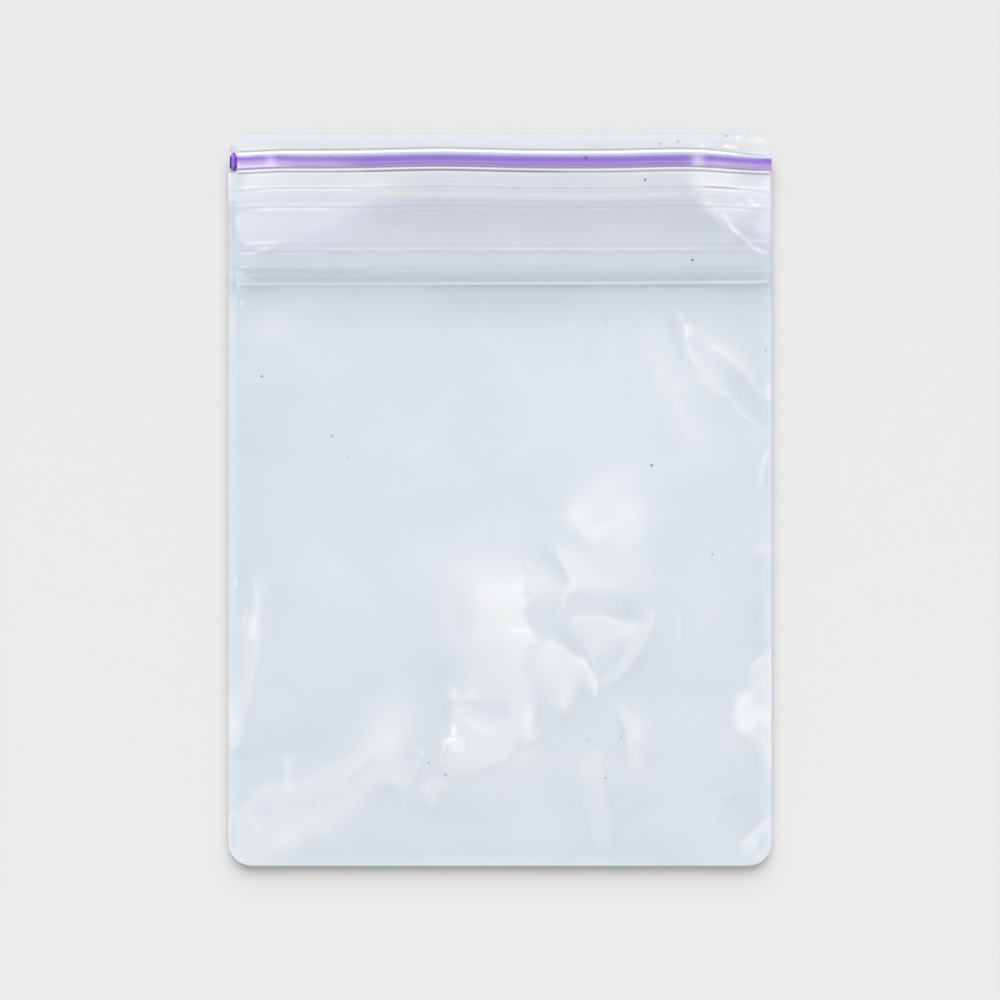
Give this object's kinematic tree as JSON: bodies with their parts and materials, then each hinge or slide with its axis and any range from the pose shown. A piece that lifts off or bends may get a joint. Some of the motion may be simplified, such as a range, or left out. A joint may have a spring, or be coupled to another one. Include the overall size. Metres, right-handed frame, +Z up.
{
  "type": "resealable plastic bag",
  "caption": "Small clear press-to-close food bag, empty and shut, lying flat, with a violet closure track near its top edge.",
  "frame": {"origin": "on the surface that the bag lies on, under the middle of its outline", "axes": "+Z up out of the bag's front, +Y along the bag towards the closure, +X to the right of the front"},
  "size_m": [0.1, 0.1346, 0.0049],
  "materials": {
    "clear_film": "clear polyethylene film, softly glossy, with a faint cool haze",
    "violet_plastic": "violet polyethylene, slightly see-through, satin gloss",
    "clear_strip": "clear polyethylene, thicker than the film, glossy"
  },
  "bodies": {
    "root": {"film_pouch": "clear_film", "closure_track": "violet_plastic", "seal_strip": "clear_strip"}
  },
  "joints": []
}
